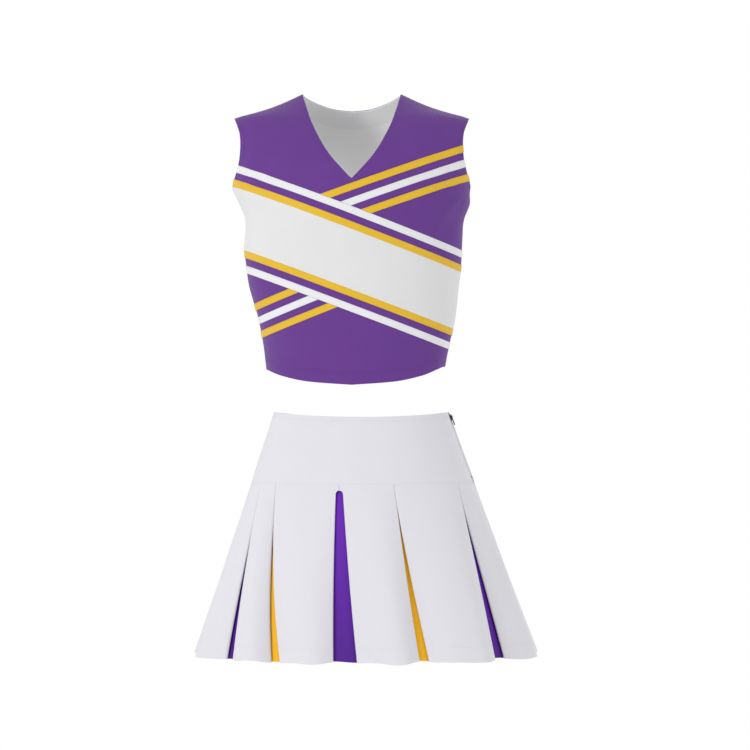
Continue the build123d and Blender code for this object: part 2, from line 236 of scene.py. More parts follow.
def clip(corners, fields):
    """The part of a triangle where every field is at least 0, as weights of its three corners."""
    kept = list(np.eye(3))
    for field in fields:
        at = field[corners]
        left = []
        for one, two in zip(kept, kept[1:] + kept[:1]):
            here, there = round(float(one @ at), 7), round(float(two @ at), 7)
            if here >= 0:
                left.append(one)
            if here * there < 0:
                left.append(one + (two - one) * here / (here - there))
        kept = left
    return kept


def trimmed(point, us, vs, keep):
    """A grid over the surface point(u, v), cut off at the edges where a keep(x, z) is 0.

    Its lines are pulled onto those edges first. Returns the parameters of its corners, and its faces.
    """
    u, v = (g.ravel() for g in np.meshgrid(us, vs))
    h = 1e-4
    size_u = np.linalg.norm(point(u + h, v) - point(u, v), axis=1) / h
    size_v = np.linalg.norm(point(u, v + h) - point(u, v), axis=1) / h
    cell = min(np.median(size_u) * (us[1] - us[0]), np.median(size_v) * abs(vs[1] - vs[0]))

    def value(f, u, v):
        at = point(u, v)
        return f(at[:, 0] - SHELL_X, at[:, 2])

    edge_u, edge_v = (u == us[0]) | (u == us[-1]), (v == vs[0]) | (v == vs[-1])
    for f in keep:
        for _ in range(2):
            here = value(f, u, v)
            du = (value(f, u + h, v) - here) / h / size_u
            dv = (value(f, u, v + h) - here) / h / size_v
            steep = du * du + dv * dv + 1e-9
            near = np.abs(here) < 0.42 * cell * np.sqrt(steep)
            u = np.where(near & ~edge_u, u - here * du / steep / size_u, u)
            v = np.where(near & ~edge_v, v - here * dv / steep / size_v, v)
    fields = [value(f, u, v) for f in keep]
    fields = [np.where(np.abs(f) < 0.03, 0, f) for f in fields]
    rows, columns = np.meshgrid(np.arange(len(vs) - 1), np.arange(len(us) - 1), indexing="ij")
    a = (rows * len(us) + columns).ravel()
    b, c, d = a + 1, a + len(us) + 1, a + len(us)
    triangles = np.concatenate([np.stack([a, b, c], 1), np.stack([a, c, d], 1)])
    inside, outside = np.ones(len(triangles), bool), np.zeros(len(triangles), bool)
    for f in fields:
        at = f[triangles]
        inside &= (at >= 0).all(1)
        outside |= (at <= 0).all(1)
    spots = [*zip(u, v)]
    faces = triangles[inside & ~outside].tolist()
    known = {}
    for corners in triangles[~inside & ~outside]:
        polygon = []
        for weights in clip(corners, fields):
            if weights.max() > 1 - 1e-6:
                index = int(corners[weights.argmax()])
            else:
                where = weights @ u[corners], weights @ v[corners]
                key = round(float(where[0]), 7), round(float(where[1]), 5)
                index = known.setdefault(key, len(spots))
                if index == len(spots):
                    spots.append(where)
            if index not in polygon:
                polygon.append(index)
        if len(polygon) > 2:
            faces.append(polygon)
    used = sorted({i for f in faces for i in f})
    renumber = dict(zip(used, range(len(used))))
    return np.array([spots[i] for i in used]), [[renumber[i] for i in f] for f in faces]


def solid(outer, inner, faces):
    """Two copies of a sheet's faces, outer and inner, joined by walls round the rim."""
    count = len(outer)
    made = [*faces, *([i + count for i in reversed(f)] for f in faces)]
    edges = {(a, b) for f in faces for a, b in zip(f, f[1:] + f[:1])}
    made += [[b, a, a + count, b + count] for a, b in sorted(edges) if (b, a) not in edges]
    return np.concatenate([outer, inner]), made


def merge(parts):
    """Several (points, faces, uv) as one."""
    points, faces, uvs, start = [], [], [], 0
    for p, f, uv in parts:
        points.append(p)
        uvs.append(uv)
        faces += [[i + start for i in face] for face in f]
        start += len(p)
    return np.concatenate(points), faces, np.concatenate(uvs)


def layer(point, us, vs, low, high, keep, uv):
    """One cloth layer between two offsets: (points, faces, uv). uv takes the parameters and the points."""
    spots, faces = trimmed(point, us, vs, keep)
    base, n = point(*spots.T), normals(point, *spots.T)
    points, faces = solid(base + high * n, base + low * n, faces)
    across = uv(spots, base)
    return points, faces, np.concatenate([across, across])


def grid_faces(rows, columns):
    """The four-sided faces of a grid of points, rows by columns."""
    r, c = np.meshgrid(np.arange(rows - 1), np.arange(columns - 1), indexing="ij")
    a = (r * columns + c).ravel()
    return np.stack([a, a + 1, a + columns + 1, a + columns], 1).tolist()


def one_side_area(points, faces):
    """Half of a thin closed sheet's surface, in square metres."""
    total = 0.0
    for f in faces:
        arms = points[f] - points[f[0]]
        total += np.linalg.norm(sum(np.cross(arms[i], arms[i + 1]) for i in range(1, len(f) - 1))) / 2
    return total * MM * MM / 2


def stitches(name, lines, material, body, slot, pitch=3.3, length=2.3, radius=0.24, proud=0.12):
    """Thread along lines, each (points, normals): a short spindle for each stitch."""
    sides = 5
    ring = np.array([(math.cos(a), math.sin(a)) for a in np.arange(sides) * math.tau / sides])
    points, faces, count = [], [], 0
    for path, normal in lines:
        run = np.concatenate([[0], np.cumsum(np.linalg.norm(np.diff(path, axis=0), axis=1))])
        number = int(run[-1] / pitch)
        if number < 1:
            continue
        middles = (np.arange(number) + 0.5) * run[-1] / number

        def spots(values, shift=0.0):
            return np.stack([np.interp(middles + shift, run, values[:, i]) for i in range(3)], 1)

        at, out = spots(path), spots(normal)
        along = spots(path, 0.4) - spots(path, -0.4)
        along /= np.linalg.norm(along, axis=1)[:, None]
        side = np.cross(along, out)
        at = at + out * proud
        for p, d, n, s in zip(at, along, out, side):
            body_ring = ring[:, :1] * s * radius + ring[:, 1:] * n * radius
            points += [p - d * length / 2 - n * radius, *(p - d * length / 4 + body_ring),
                       *(p + d * length / 4 + body_ring), p + d * length / 2 - n * radius]  # fmt: skip
            for i in range(sides):
                j = (i + 1) % sides
                faces += [
                    [count, count + 1 + j, count + 1 + i],
                    [count + 1 + i, count + 1 + j, count + 1 + sides + j, count + 1 + sides + i],
                    [count + 1 + sides + i, count + 1 + sides + j, count + 1 + 2 * sides],
                ]
            count += 2 + 2 * sides
    return build(name, np.array(points), faces, material, body, slot)


# ---------------------------------------------------------------- materials
def cloth_material(name, colour, weave="knit", pitch=1.0, bump=0.25, roughness=0.82, sheen=0.12, mottle=0.05,
                   shade=0.10, fade=0.0):  # fmt: skip
    """Cloth: a knit, twill, braid or satin relief by UV, blotches of colour, and painted shade in the hollows
    of the weave.

    fade darkens it towards the skirt's hem.
    """
    material = bpy.data.materials.new(name)
    material.use_nodes = True
    nodes, links = material.node_tree.nodes, material.node_tree.links
    shader = nodes["Principled BSDF"]
    shader.inputs["Sheen Weight"].default_value = sheen
    shader.inputs["Sheen Roughness"].default_value = 0.45
    shader.inputs["Specular IOR Level"].default_value = 0.25
    uv = nodes.new("ShaderNodeTexCoord").outputs["UV"]

    def wave(direction, scale, distortion=0.0, turn=0.0):
        mapping = nodes.new("ShaderNodeMapping")
        mapping.inputs["Rotation"].default_value = (0, 0, turn)
        links.new(uv, mapping.inputs["Vector"])
        texture = nodes.new("ShaderNodeTexWave")
        texture.bands_direction = direction
        texture.inputs["Scale"].default_value = scale
        texture.inputs["Distortion"].default_value = distortion
        texture.inputs["Detail"].default_value = 1.0
        links.new(mapping.outputs["Vector"], texture.inputs["Vector"])
        return texture.outputs["Fac"]

    def noise(scale, detail):
        texture = nodes.new("ShaderNodeTexNoise")
        texture.inputs["Scale"].default_value = scale
        texture.inputs["Detail"].default_value = detail
        links.new(uv, texture.inputs["Vector"])
        return texture.outputs["Fac"]

    def math_node(operation, a, b):
        node = nodes.new("ShaderNodeMath")
        node.operation = operation
        for socket, value in zip(node.inputs, (a, b)):
            if isinstance(value, (int, float)):
                socket.default_value = value
            else:
                links.new(value, socket)
        return node.outputs[0]

    rate = 0.314 / (pitch * MM)
    if weave == "knit":
        relief = math_node("MULTIPLY", wave("X", rate), math_node("ADD", wave("Y", rate * 0.8, 1.2), 0.35))
    elif weave == "twill":
        ribs, weft = wave("X", rate, 0.3, math.radians(62)), math_node("MULTIPLY", wave("Y", rate), 0.3)
        relief = math_node("ADD", ribs, weft)
    elif weave == "braid":
        relief = math_node("MAXIMUM", wave("X", rate, 0.2, 0.7), wave("X", rate, 0.2, -0.7))
    else:
        relief = math_node("MULTIPLY", wave("Y", rate, 0.5), 0.6)
    relief = math_node("ADD", relief, math_node("MULTIPLY", noise(1400, 2), 0.5))
    blotch = noise(38, 3)
    # shade darkens the colour where the weave's relief is low: painted shade in its hollows.
    tone = math_node("ADD", math_node("MULTIPLY", math_node("SUBTRACT", blotch, 0.5), mottle * 2),
                     math_node("MULTIPLY", math_node("SUBTRACT", relief, 0.6), shade))  # fmt: skip
    if fade:
        split = nodes.new("ShaderNodeSeparateXYZ")
        links.new(uv, split.inputs["Vector"])
        drop = nodes.new("ShaderNodeMapRange")
        drop.inputs["From Min"].default_value, drop.inputs["From Max"].default_value = HEM_Z * MM, YOKE_Z * MM
        drop.inputs["To Min"].default_value, drop.inputs["To Max"].default_value = -fade, fade
        links.new(split.outputs["Y"], drop.inputs["Value"])
        tone = math_node("ADD", tone, drop.outputs["Result"])
    factor = math_node("ADD", tone, 0.5)
    mix = nodes.new("ShaderNodeMix")
    mix.data_type = "RGBA"
    links.new(factor, mix.inputs["Factor"])
    spread = min(0.45, 0.97 / max(colour) - 1)
    dark = [c * (1 - spread) for c in colour]
    light = [c * (1 + spread) for c in colour]
    mix.inputs[6].default_value = (*dark, 1)
    mix.inputs[7].default_value = (*light, 1)
    links.new(mix.outputs[2], shader.inputs["Base Color"])
    rough = math_node("ADD", math_node("MULTIPLY", math_node("SUBTRACT", blotch, 0.5), 0.15), roughness)
    links.new(rough, shader.inputs["Roughness"])
    height = nodes.new("ShaderNodeBump")
    height.inputs["Strength"].default_value = bump
    height.inputs["Distance"].default_value = 0.3 * MM
    links.new(relief, height.inputs["Height"])
    links.new(height.outputs["Normal"], shader.inputs["Normal"])
    return material


def metal_material(name, colour, metallic, roughness):
    """Metal: fine scratches and polish that varies."""
    material = bpy.data.materials.new(name)
    material.use_nodes = True
    nodes, links = material.node_tree.nodes, material.node_tree.links
    shader = nodes["Principled BSDF"]
    shader.inputs["Base Color"].default_value = (*colour, 1)
    shader.inputs["Metallic"].default_value = metallic
    where = nodes.new("ShaderNodeTexCoord").outputs["Object"]
    noise = nodes.new("ShaderNodeTexNoise")
    noise.inputs["Scale"].default_value = 900
    noise.inputs["Detail"].default_value = 4
    links.new(where, noise.inputs["Vector"])
    span = nodes.new("ShaderNodeMapRange")
    span.inputs["To Min"].default_value = roughness - 0.1
    span.inputs["To Max"].default_value = roughness + 0.15
    links.new(noise.outputs["Fac"], span.inputs["Value"])
    links.new(span.outputs["Result"], shader.inputs["Roughness"])
    height = nodes.new("ShaderNodeBump")
    height.inputs["Strength"].default_value = 0.15
    height.inputs["Distance"].default_value = 0.05 * MM
    links.new(noise.outputs["Fac"], height.inputs["Height"])
    links.new(height.outputs["Normal"], shader.inputs["Normal"])
    return material


PURPLE = cloth_material("purple_knit_cloth", (0.125, 0.038, 0.25), "knit", 1.1, 0.35, sheen=0.15, mottle=0.07)
LINING_CLOTH = cloth_material("lining_cloth", (0.89, 0.89, 0.895), "satin", 0.8, 0.15, sheen=0.05)
FACING_CLOTH = cloth_material("facing_cloth", (0.82, 0.82, 0.83), "twill", 0.9, 0.2, sheen=0.05)
TWILL = cloth_material("white_twill_cloth", (0.68, 0.68, 0.685), "twill", 1.2, 0.25, mottle=0.02)
GOLD_BRAID = cloth_material("gold_braid_cloth", (0.71, 0.445, 0.022), "braid", 1.3, 0.4, 0.6, mottle=0.03)
WHITE_BRAID = cloth_material("white_braid_cloth", (0.745, 0.745, 0.755), "braid", 1.3, 0.3, 0.7, mottle=0.02)
SKIRT_CLOTH = cloth_material("skirt_white_cloth", (0.70, 0.69, 0.732), "knit", 1.1, 0.2, mottle=0.015,
                             shade=0.05)  # fmt: skip
INSERT_PURPLE = cloth_material("insert_purple_cloth", (0.11, 0.010, 0.36), "knit", 1.1, 0.3, 0.6, 0.03,
                               fade=0.36)  # fmt: skip
INSERT_GOLD = cloth_material("insert_gold_cloth", (0.90, 0.47, 0.014), "knit", 1.1, 0.3, 0.65, 0.05)
TAPE = cloth_material("zip_tape_cloth", (0.70, 0.69, 0.73), "twill", 0.7, 0.3)
NYLON = cloth_material("zip_coil_nylon", (0.75, 0.75, 0.77), "satin", 0.6, 0.1, 0.4, mottle=0.02)
PURPLE_THREAD = cloth_material("purple_thread", (0.11, 0.034, 0.22), "satin", 0.5, 0.2, 0.6)
WHITE_THREAD = cloth_material("white_thread", (0.67, 0.66, 0.70), "satin", 0.5, 0.2, 0.6)
GOLD_THREAD = cloth_material("gold_thread", (0.68, 0.39, 0.018), "satin", 0.5, 0.2, 0.6)
DARK_METAL = metal_material("zip_dark_metal", (0.045, 0.045, 0.05), 0.7, 0.42)
STEEL = metal_material("hook_steel", (0.62, 0.62, 0.63), 1.0, 0.32)


# ---------------------------------------------------------------- shell top
# Each rule takes x from the top's middle and z, and is above 0 where its piece of cloth goes.
def below_neck(side):
    return lambda x, z: neck[side](np.abs(x)) - z


def inside_armholes(x, z):
    return armhole(np.maximum(z, ARMHOLE[0][0])) - np.abs(x)


def above_hem(side):
    return lambda x, z: z - hem[side](np.abs(x))


def outline(side):
    """The rules of the top's own edges."""
    return [below_neck(side), inside_armholes, above_hem(side)]


def strip(width, from_edge, share=1.0):
    """Within a width of an edge. share is how far straight in a step of 1 in the edge's own rule goes."""
    return lambda x, z: width - share * from_edge(x, z)


def across(z0, angle):
    """The distance above a slanted line that crosses the top's middle at z0."""
    lean = math.radians(angle)
    return lambda x, z: (z - z0) * math.cos(lean) - x * math.sin(lean)


def band(line, offset, width):
    """The two rules of a band along a slanted line, its middle at an offset above the line."""
    return [lambda x, z: width / 2 - line(x, z) + offset, lambda x, z: width / 2 + line(x, z) - offset]


def past(line, sign, gap):
    """Further than a gap from a slanted line: above it where sign is 1, below it where sign is -1."""
    return lambda x, z: sign * line(x, z) - gap


STEP = 4.2
ANGLES = np.radians(np.linspace(-89.9, 89.9, 2 * int(205 / STEP) + 1))
HEIGHTS = np.linspace(36, 466, int(430 / STEP))


def shell_uv(spots, points):
    return np.stack([spots[:, 0] * 140, spots[:, 1]], 1)


def band_uv(line, angle):
    """Along and across a band, laid out in the front view and unrolled towards the sides."""
    lean = math.radians(angle)

    def uv(spots, points):
        along = spots[:, 0] * 150 / math.cos(lean)
        return np.stack([along, line(points[:, 0] - SHELL_X, points[:, 2])], 1)

    return uv


def shell_layer(side, low, high, *more, uv=shell_uv):
    """A layer of the top's front or back between two offsets, inside its outline and any more rules."""
    return layer(torso(side), ANGLES, HEIGHTS, low, high, [*outline(side), *more], uv)


def declare(piece, flat, held, rests_on, points, faces, pieces=()):
    """Measures a cloth piece's area on the mesh itself. The rectangle it was cut from is not used."""
    area = one_side_area(points, faces)
    list(pieces)


def declare_strip(piece, width, rests_on, points, faces):
    """Measures a facing or tape's area on the mesh itself. The strip's width in metres is not used."""
    area = one_side_area(points, faces)


def shell_line(side, line, offset, inset=1.0):
    """A line across the top at an offset from a slanted one: its points, normals, and which are inside."""
    t = np.radians(np.linspace(-89, 89, 260))
    point = torso(side)
    z = np.full_like(t, 250.0)
    for _ in range(12):
        x = point(t, z)[:, 0] - SHELL_X
        z = z - (line(x, z) - offset)
    at, n = point(t, z), normals(point, t, z)
    fine = np.abs(line(at[:, 0] - SHELL_X, at[:, 2]) - offset) < 0.3
    for f in outline(side):
        fine &= f(at[:, 0] - SHELL_X, at[:, 2]) > inset
    return at, n, fine


def runs(at, n, fine, out):
    """The stretches where fine holds, moved out along the normals."""
    found, start = [], None
    for i, good in enumerate([*fine, False]):
        if good and start is None:
            start = i
        if not good and start is not None:
            if i - start > 3:
                found.append((at[start:i] + n[start:i] * out, n[start:i]))
            start = None
    return found


def make_panels():
    """The top's front and back with their linings, facings and hem tape: {word: (shell, its parts)}."""
    lined, faced = -LAYER_GAP - LINING, -2 * LAYER_GAP - LINING
    made = {}
    for side, word in [(FRONT, "front"), (BACK, "back")]:
        halves = [f"shell_{word}_left", f"shell_{word}_right"]
        parts = shell_layer(side, 0, FABRIC)
        shell = build(f"shell_{word}_cloth", *parts[:2], PURPLE, "shell_top", "purple_knit", parts[2], halves)
        made[word] = shell, parts
        parts = shell_layer(side, lined, -LAYER_GAP)
        lining = build(f"lining_{word}_cloth", *parts[:2], LINING_CLOTH, "shell_top", "lining", parts[2],
                       [f"lining_{word}"])  # fmt: skip
        declare(lining, TOP_FLAT, "hung", halves, *parts[:2])
        slant = V_SLANT if side == FRONT else 1.0
        parts = shell_layer(side, faced - FACING, faced, strip(NECK_FACING, below_neck(side), slant))
        facing = build(f"neck_facing_{word}_cloth", *parts[:2], FACING_CLOTH, "shell_top", "facing", parts[2],
                       [f"neck_facing_{word}"])  # fmt: skip
        declare_strip(facing, NECK_FACING * MM, [f"lining_{word}"], *parts[:2])
    for word, sign in [("right", 1), ("left", -1)]:
        rules = [strip(ARM_FACING, inside_armholes), lambda x, z: sign * x]
        parts = merge([shell_layer(side, faced - FACING, faced, *rules) for side in (FRONT, BACK)])
        facing = build(f"armhole_facing_{word}_cloth", *parts[:2], FACING_CLOTH, "shell_top", "facing",
                       parts[2], [f"armhole_facing_{word}"])  # fmt: skip
        declare_strip(facing, ARM_FACING * MM, ["lining_front", "lining_back"], *parts[:2])
    parts = merge([
        shell_layer(side, faced - FACING, faced, strip(HEM_TAPE, above_hem(side))) for side in (FRONT, BACK)
    ])
    tape = build("hem_tape_cloth", *parts[:2], LINING_CLOTH, "shell_top", "lining", parts[2], ["hem_tape"])
    declare_strip(tape, HEM_TAPE * MM, ["lining_front", "lining_back"], *parts[:2])
    return made


def list_trims():
    """The sash and the braids: (name, line, angle, offset, width, colour, rule for where it shows)."""
    sash, first = across(SASH_Z, SASH_ANGLE), SASH_HALF + BRAID_WIDTH / 2
    trims = [("sash_panel", sash, SASH_ANGLE, 0, 2 * SASH_HALF + 0.4, "twill", None)]
    for word, up in [("upper", 1), ("lower", -1)]:
        for colour, offset in [("gold", first), ("white", first + BRAID_PITCH)]:
            name = f"sash_braid_{colour}_{word}"
            trims.append((name, sash, SASH_ANGLE, up * offset, BRAID_WIDTH, colour, None))
    clear = first + BRAID_PITCH + BRAID_WIDTH / 2 + 0.3
    for word, z, angle, up in [
        ("upper", UPPER_CROSS_Z, UPPER_CROSS_ANGLE, 1),
        ("lower", LOWER_CROSS_Z, LOWER_CROSS_ANGLE, -1),
    ]:
        line, beyond = across(z, angle), past(sash, up, clear)
        for which, colour, offset in [
            ("gold_top", "gold", BRAID_PITCH), ("white", "white", 0), ("gold_low", "gold", -BRAID_PITCH),
        ]:  # fmt: skip
            trims.append((f"cross_{word}_{which}", line, angle, offset, BRAID_WIDTH, colour, beyond))
    return trims


def make_trims():
    """The sash, the braids and their stitching. Returns all but the sash."""
    start = FABRIC + LAYER_GAP
    cloths = {"twill": (TWILL, "white_twill"), "gold": (GOLD_BRAID, "gold_braid"),
              "white": (WHITE_BRAID, "white_braid")}  # fmt: skip
    sewn, threads = [], {"gold": [], "white": []}
    for name, line, angle, offset, width, colour, beyond in list_trims():
        rules = band(line, offset, width) + ([beyond] if beyond else [])
        parts = merge([
            shell_layer(side, start, start + TRIM, *rules, uv=band_uv(line, angle)) for side in (FRONT, BACK)
        ])
        material, slot = cloths[colour]
        piece = build(f"{name}_cloth", *parts[:2], material, "shell_top", slot, parts[2], [name])
        if name == "sash_panel":
            declare(piece, SASH_FLAT, "laid", ["shell_front_left", "shell_back_right"], *parts[:2])
            continue
        sewn.append(piece)
        for side in (FRONT, BACK):
            for edge in (-1, 1):
                at, n, fine = shell_line(side, line, offset + edge * (width / 2 - BRAID_THREAD))
                if beyond:
                    fine &= beyond(at[:, 0] - SHELL_X, at[:, 2]) > 1
                threads[colour] += runs(at, n, fine, start + TRIM)
    for colour, lines in threads.items():
        thread = GOLD_THREAD if colour == "gold" else WHITE_THREAD
        sewn.append(stitches(f"{colour}_braid_stitching", lines, thread, "shell_top", f"{colour}_braid"))
    return sewn


def stitch_edges():
    """Stitching beside the neck and the armholes, and two rows above the hem."""
    edges = []
    for side in (FRONT, BACK):
        x = np.linspace(-69, 69, 200)
        share = V_SLANT if side == FRONT else 1.0
        edges.append(on_shell(side, x, neck[side](np.abs(x)) - EDGE_THREAD / share, FABRIC))
        for sign in (-1, 1):
            z = np.linspace(318.5, 425, 120)
            half = half_left(z) if sign < 0 else half_right(z)
            reach = np.minimum(armhole(z) - EDGE_THREAD, half - 0.5)
            edges.append(on_shell(side, sign * reach, z, FABRIC))
        for up in HEM_THREADS:
            x = np.linspace(-128, 128, 260)
            edges.append(on_shell(side, x * 0.995, hem[side](np.abs(x)) + up, FABRIC))
    return stitches("shell_edge_stitching", edges, PURPLE_THREAD, "shell_top", "purple_knit")


def make_shell_top():
    """The whole top. The trims and stitching are passed with its front to declare, which does nothing with
    them.
    """
    made = make_panels()
    sewn = [*make_trims(), stitch_edges()]
    for word, other in [("front", "back"), ("back", "front")]:
        shell, parts = made[word]
        mine = sewn if word == "front" else []
        declare(shell, TOP_FLAT, "hung", [f"shell_{other}_left", f"shell_{other}_right"], *parts[:2], mine)


make_shell_top()


# ---------------------------------------------------------------- skirt
def below_yoke(z):
    """How far down the pleats a height is: 0 at the yoke's seam, 1 at the hem."""
    return (z - YOKE_Z) / (HEM_Z - YOKE_Z)


def insert_angle(k, z):
    """The middle of insert k at a height, in degrees. Numbers past the last go round again."""
    _, top, low, _, _ = INSERTS[k % len(INSERTS)]
    return top + (low - top) * below_yoke(z) + 360 * (k // len(INSERTS))


def shows(k, z):
    """Half of what shows of insert k between its pleats at a height: it opens below a sewn top."""
    _, _, _, start, at_hem = INSERTS[k % len(INSERTS)]
    closed = 0.05
    if k % len(INSERTS) == 0:
        deep = np.clip(start - z, 0, SLOT_TOP)
        rounded = np.sqrt(np.maximum(SLOT_TOP**2 - (SLOT_TOP - deep) ** 2, 0))
        share = np.clip((start - SLOT_TOP - z) / (start - SLOT_TOP - HEM_Z), 0, 1)
        return np.maximum(rounded + (at_hem - SLOT_TOP) * share, closed)
    share = np.clip((start - z) / (start - HEM_Z), 0, 1)
    return np.maximum(at_hem * share**1.08, closed)


def pleat_rows():
    """Heights down a pleat, close together at the seam and where the front insert opens."""
    near = [YOKE_Z - d for d in (0.05, 0.4, 1, 1.8, 2.8, 4.4, 6.5, 7.9)]
    slot = [-110, -110.3, -110.8, -111.6, -112.6, -113.8, -115.2, -117.5, -121]
    return np.array([*near, *slot, *np.arange(-126, HEM_Z + 3, -5.5), HEM_Z + 2.2, HEM_Z + 0.9, HEM_Z])


PLEAT_ROWS = pleat_rows()
PLEAT_STYLE = RNG.uniform(-1, 1, (12, 6))
hem_ripple = ripples(6, 40, 130, 1.3)


def swell(k, u, z):
    """How far pleat k stands out: a soft roll, and flutes that grow towards the hem."""
    a, b, c, d, e, _ = PLEAT_STYLE[k % 12]
    share = np.clip(below_yoke(z), 0, 1)
    u = np.clip(u, 0, 1)
    roll = np.sin(math.pi * u ** (1.35 + 0.15 * a))
    flute = np.sin(math.tau * (1.35 + 0.25 * b) * u + 2 * c) * np.sin(math.pi * u)
    return share**0.75 * ((19.5 + 2 * d) * roll - EDGE_DIP) + share**1.3 * (3.0 + 0.8 * e) * flute


def seam_dip(z):
    """How far the cloth dips along the yoke's seam."""
    return -0.4 * np.exp(-(((z - YOKE_Z) / 1.1) ** 2))


def fold_radius(z):
    """The radius of a pleat's folded edge: pressed flat at the seam, rounder below."""
    return 0.95 + 0.85 * np.clip((YOKE_Z - z) / 60, 0, 1)


def insert_depth(z):
    """How far an insert lies behind the skirt's surface: clear of the pleats' edges, which fall in."""
    return 4.4 + (EDGE_DIP + 1.2) * np.clip(below_yoke(z), 0, 1) ** 0.75


def place(t, z, out):
    """Points of the skirt at angles and heights, moved out level, and the cone's normals."""
    n = normals(skirt, t, z)
    moved = skirt(t, z) + n * out[..., None]
    moved[..., 2] = z
    drop = hem_ripple(moved[..., 0], moved[..., 1]) * np.clip(below_yoke(z), 0, 1) ** 4
    moved[..., 2] += drop
    return moved, n


def pleat_section(k, z, thick):
    """One cross-section grid of pleat k: its face, its two folded edges and the cloth turned back behind.

    thick is 0 for the outside of the cloth, and the cloth's thickness for its inside.
    """
    middle_l, middle_r = insert_angle(k, z), insert_angle(k + 1, z)
    left = middle_l + degrees_for(middle_l, z, shows(k, z))
    right = middle_r - degrees_for(middle_r, z, shows(k + 1, z))
    unit_l, unit_r = degrees_for(left, z, 1.0), degrees_for(right, z, 1.0)
    fold = fold_radius(z)
    r = fold - thick
    bends, back, front = np.linspace(math.pi, 0, 8), np.linspace(RETURN, 0, 4), np.linspace(0, 1, 34)
    angles, outs = [], []
    for d in back[:-1]:
        angles.append(left + unit_l * (fold + d))
        outs.append(-fold - r)
    for a in bends:
        angles.append(left + unit_l * (fold - r * math.sin(a)))
        outs.append(-fold + r * math.cos(a))
    for u in front[1:-1]:
        first, last = left + unit_l * fold, right - unit_r * fold
        angles.append(first + (last - first) * u)
        outs.append(0 * z - thick)
    for a in bends[::-1]:
        angles.append(right - unit_r * (fold - r * math.sin(a)))
        outs.append(-fold + r * math.cos(a))
    for d in back[::-1][1:]:
        angles.append(right - unit_r * (fold + d))
        outs.append(-fold - r)
    angles, outs = np.stack(angles, -1), np.stack(outs, -1)
    u = (angles - left[:, None]) / (right - left)[:, None]
    heights = np.broadcast_to(z[:, None], angles.shape)
    outs = outs + swell(k, u, heights) + seam_dip(heights)
    return place(angles, heights, outs)


def two_skins(outer, inner):
    """A closed sheet from an outer and an inner grid of points, rows by columns."""
    rows, columns = outer.shape[:2]
    return solid(outer.reshape(-1, 3), inner.reshape(-1, 3), [f[::-1] for f in grid_faces(rows, columns)])


def grid_uv(points):
    """Lengths along a grid's columns and rows, for both of its skins."""
    across_step = np.linalg.norm(np.diff(points, axis=1), axis=2)
    u = np.concatenate([np.zeros((len(points), 1)), np.cumsum(across_step, axis=1)], axis=1)
    v = np.broadcast_to(points[:, :1, 2], u.shape)
    uv = np.stack([u - u.mean(axis=1, keepdims=True), v], -1).reshape(-1, 2)
    return np.concatenate([uv, uv])


def blend_down(piece, point):
    """Bakes the piece's placement into its mesh."""
    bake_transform(piece)


def make_pleats():
    """The white pleats, each starting at the yoke's seam, with a row of stitching above its hem."""
    for k in range(12):
        name = f"pleat_{k + 1:02d}"
        outer, n = pleat_section(k, PLEAT_ROWS, 0.0)
        inner, _ = pleat_section(k, PLEAT_ROWS, PLEAT_CLOTH)
        points, faces = two_skins(outer, inner)
        uv = grid_uv(outer)
        piece = build(f"{name}_cloth", points, faces, SKIRT_CLOTH, None, "skirt_white", uv, [name])
        middle = outer.shape[1] // 2
        blend_down(piece, outer[:, middle])
        row = int(np.argmin(np.abs(PLEAT_ROWS - (HEM_Z + PLEAT_THREAD))))
        face = slice(12, outer.shape[1] - 12)
        line = outer[row, face], n[row, face]
        thread = stitches(f"{name}_hem_stitching", [line], WHITE_THREAD, f"{name}_panel", "skirt_white",
                          pitch=4.2)  # fmt: skip
        yoke = "yoke_front" if outer[0, middle, 1] < 0 else "yoke_back"
        declare(piece, PLEAT_FLAT, "hung", [yoke], points, faces, [thread])


def make_inserts():
    """The coloured underlays, each behind the gap between two pleats."""
    for k, (colour, _, _, _, _) in enumerate(INSERTS):
        name = f"insert_{k + 1:02d}_{colour}"
        z = np.append(PLEAT_ROWS[:-3], HEM_Z + 0.8)
        middle = insert_angle(k, z)
        left = (insert_angle(k + 11, z) - 360 + middle) / 2 + degrees_for(middle, z, 1.0)
        right = (insert_angle(k + 1, z) + middle) / 2 - degrees_for(middle, z, 1.0)
        u = np.linspace(0, 1, 31)
        angles = left[:, None] + (right - left)[:, None] * u
        heights = np.broadcast_to(z[:, None], angles.shape)
        share = np.clip(below_yoke(heights), 0, 1)
        crease = 0.8 * share * np.sin(math.tau * 2 * u + k) * np.sin(math.pi * u)
        outer, _ = place(angles, heights, crease - insert_depth(heights))
        inner, _ = place(angles, heights, crease - insert_depth(heights) - INSERT_CLOTH)
        points, faces = two_skins(outer, inner)
        cloth = INSERT_GOLD if colour == "gold" else INSERT_PURPLE
        uv = grid_uv(outer)
        piece = build(f"{name}_cloth", points, faces, cloth, None, f"insert_{colour}", uv, [name])
        blend_down(piece, outer[:, 15])
        yoke = "yoke_front" if outer[0, 15, 1] < 0 else "yoke_back"
        declare(piece, INSERT_FLAT, "hung", [yoke], points, faces)


def waist_z(t):
    """The height of the waistline, which dips at the front and the back."""
    cosine = np.cos(np.radians(t))
    return -np.where(cosine > 0, WAIST_DIP_FRONT, WAIST_DIP_BACK) * cosine**2


yoke_ripple = ripples(8, 35, 110, 0.35)


